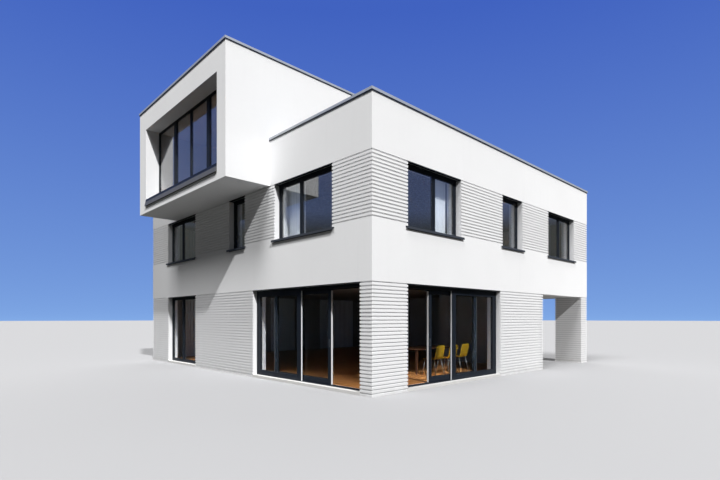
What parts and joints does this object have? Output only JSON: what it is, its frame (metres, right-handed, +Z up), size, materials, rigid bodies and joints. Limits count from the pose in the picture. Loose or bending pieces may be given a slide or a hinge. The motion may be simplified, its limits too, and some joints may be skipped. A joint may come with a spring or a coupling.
{
  "type": "detached house",
  "caption": "Two-storey flat-roofed house with banded ribbed walls, a corner with sliding doors, a covered bay and a window box cantilevered over one side.",
  "frame": {"origin": "on the ground under the middle of the two-storey body", "axes": "+X along the front to its right end, +Y from the front to the back, +Z up"},
  "size_m": [13.266, 12.81, 8.921],
  "materials": {
    "white_render": "matte",
    "parquet": "satin",
    "pale_stone": "matte",
    "grey_plaster": "matte",
    "roof_gravel": "rough",
    "coping_metal": "satin",
    "vent_metal": "satin",
    "sill_metal": "satin",
    "frame_metal": "matte",
    "pane_glass": "gloss"
  },
  "bodies": {
    "house": {"floor_slab": "parquet", "door_thresholds": "pale_stone", "front_corner_pier": "white_render", "front_ground_wall": "white_render", "bay_walls": "white_render", "bay_corner_pier": "white_render", "left_ground_walls": "white_render", "back_ground_walls": "white_render", "right_ground_walls": "white_render", "front_floor_band": "white_render", "left_floor_band": "white_render", "back_floor_band": "white_render", "right_floor_band": "white_render", "front_upper_walls": "white_render", "left_upper_walls": "white_render", "back_upper_walls": "white_render", "right_upper_walls": "white_render", "first_floor_slab": "grey_plaster", "roof_slab": "roof_gravel", "front_parapet": "white_render", "left_parapets": "white_render", "back_parapet": "white_render", "right_parapet": "white_render", "box_floor": "white_render", "box_near_wall": "white_render", "box_far_wall": "white_render", "box_back_wall": "white_render", "box_roof": "white_render", "copings": "coping_metal", "front_windows": "frame_metal", "left_windows": "frame_metal", "rear_windows": "frame_metal", "box_window": "frame_metal", "front_door_frame": "frame_metal", "left_door_frame": "frame_metal", "front_glass": "pane_glass", "left_glass": "pane_glass", "rear_glass": "pane_glass", "box_glass": "pane_glass", "window_sills": "sill_metal", "roof_vents": "vent_metal"},
    "front_leaf": {"front_door_leaf": "frame_metal", "front_leaf_glass": "pane_glass"},
    "left_leaf": {"left_door_leaf": "frame_metal", "left_leaf_glass": "pane_glass"}
  },
  "joints": [
    {"name": "front_leaf_slide", "type": "slide", "parent": "house", "child": "front_leaf", "axis": [1, 0, 0], "range_m": [-0.995, 0.875]},
    {"name": "left_leaf_slide", "type": "slide", "parent": "house", "child": "left_leaf", "axis": [0, 1, 0], "range_m": [-1.18, 0.76]}
  ]
}
